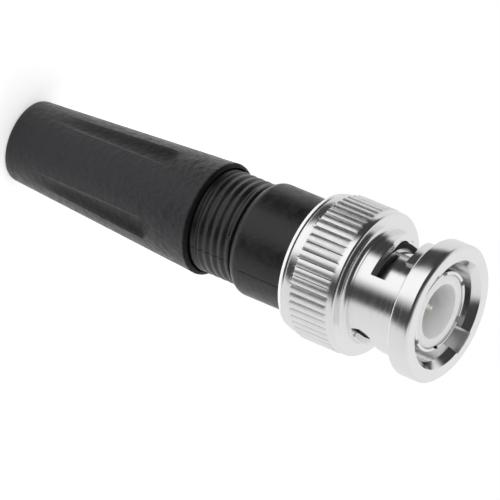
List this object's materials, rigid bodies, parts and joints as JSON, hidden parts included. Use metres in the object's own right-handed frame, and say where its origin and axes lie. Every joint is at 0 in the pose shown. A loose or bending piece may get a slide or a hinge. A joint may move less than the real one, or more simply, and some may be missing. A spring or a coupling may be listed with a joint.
{
  "type": "bnc connector",
  "caption": "Coaxial cable plug with a knurled bayonet coupling nut, slit outer contact, centre pin and a screw-on strain relief boot.",
  "frame": {"origin": "centre of the boot's flat cable end, which is the lowest face", "axes": "+Z along the connector's axis towards the mating end; -Y is the side that the picture's viewer looks at"},
  "size_m": [0.0144, 0.0144, 0.0492],
  "materials": {
    "boot": "satin",
    "collar": "satin",
    "nickel": "bright nickel plate",
    "clamp": "tinned",
    "spring": "plain",
    "rubber": "matt",
    "insulator": "waxy white",
    "pin": "plated"
  },
  "bodies": {
    "boot": {"boot": "boot"},
    "sealing_ring": {"gasket": "rubber"},
    "plug": {"threaded_collar": "collar", "connector_body": "nickel", "cable_clamp": "clamp", "outer_contact": "nickel", "front_insulator": "insulator", "rear_insulator": "insulator", "center_pin": "pin", "spring_washer": "spring"},
    "pressure_ring": {"flat_washer": "spring"},
    "nut": {"coupling_nut": "nickel"}
  },
  "joints": [
    {"name": "boot_travel", "type": "slide", "parent": "boot", "child": "sealing_ring", "axis": [0, 0, 1], "range_m": [-0.00055, 0.002]},
    {"name": "boot_screw", "type": "hinge", "parent": "sealing_ring", "child": "plug", "pos_m": [0, 0, 0], "axis": [0, 0, 1], "range_deg": [-233.5, 847.5]},
    {"name": "nut_pull", "type": "slide", "parent": "plug", "child": "pressure_ring", "axis": [0, 0, 1], "range_m": [0, 0.0006], "stiffness_N_per_m": 12000, "springref_m": -0.0006, "deforming": ["spring_washer"]},
    {"name": "nut_spin", "type": "hinge", "parent": "pressure_ring", "child": "nut", "pos_m": [0, 0, 0], "axis": [0, 0, 1], "continuous": true}
  ],
  "couplings": [
    {"joint": "boot_screw", "follows": "boot_travel", "rad_per_m": 7392}
  ]
}
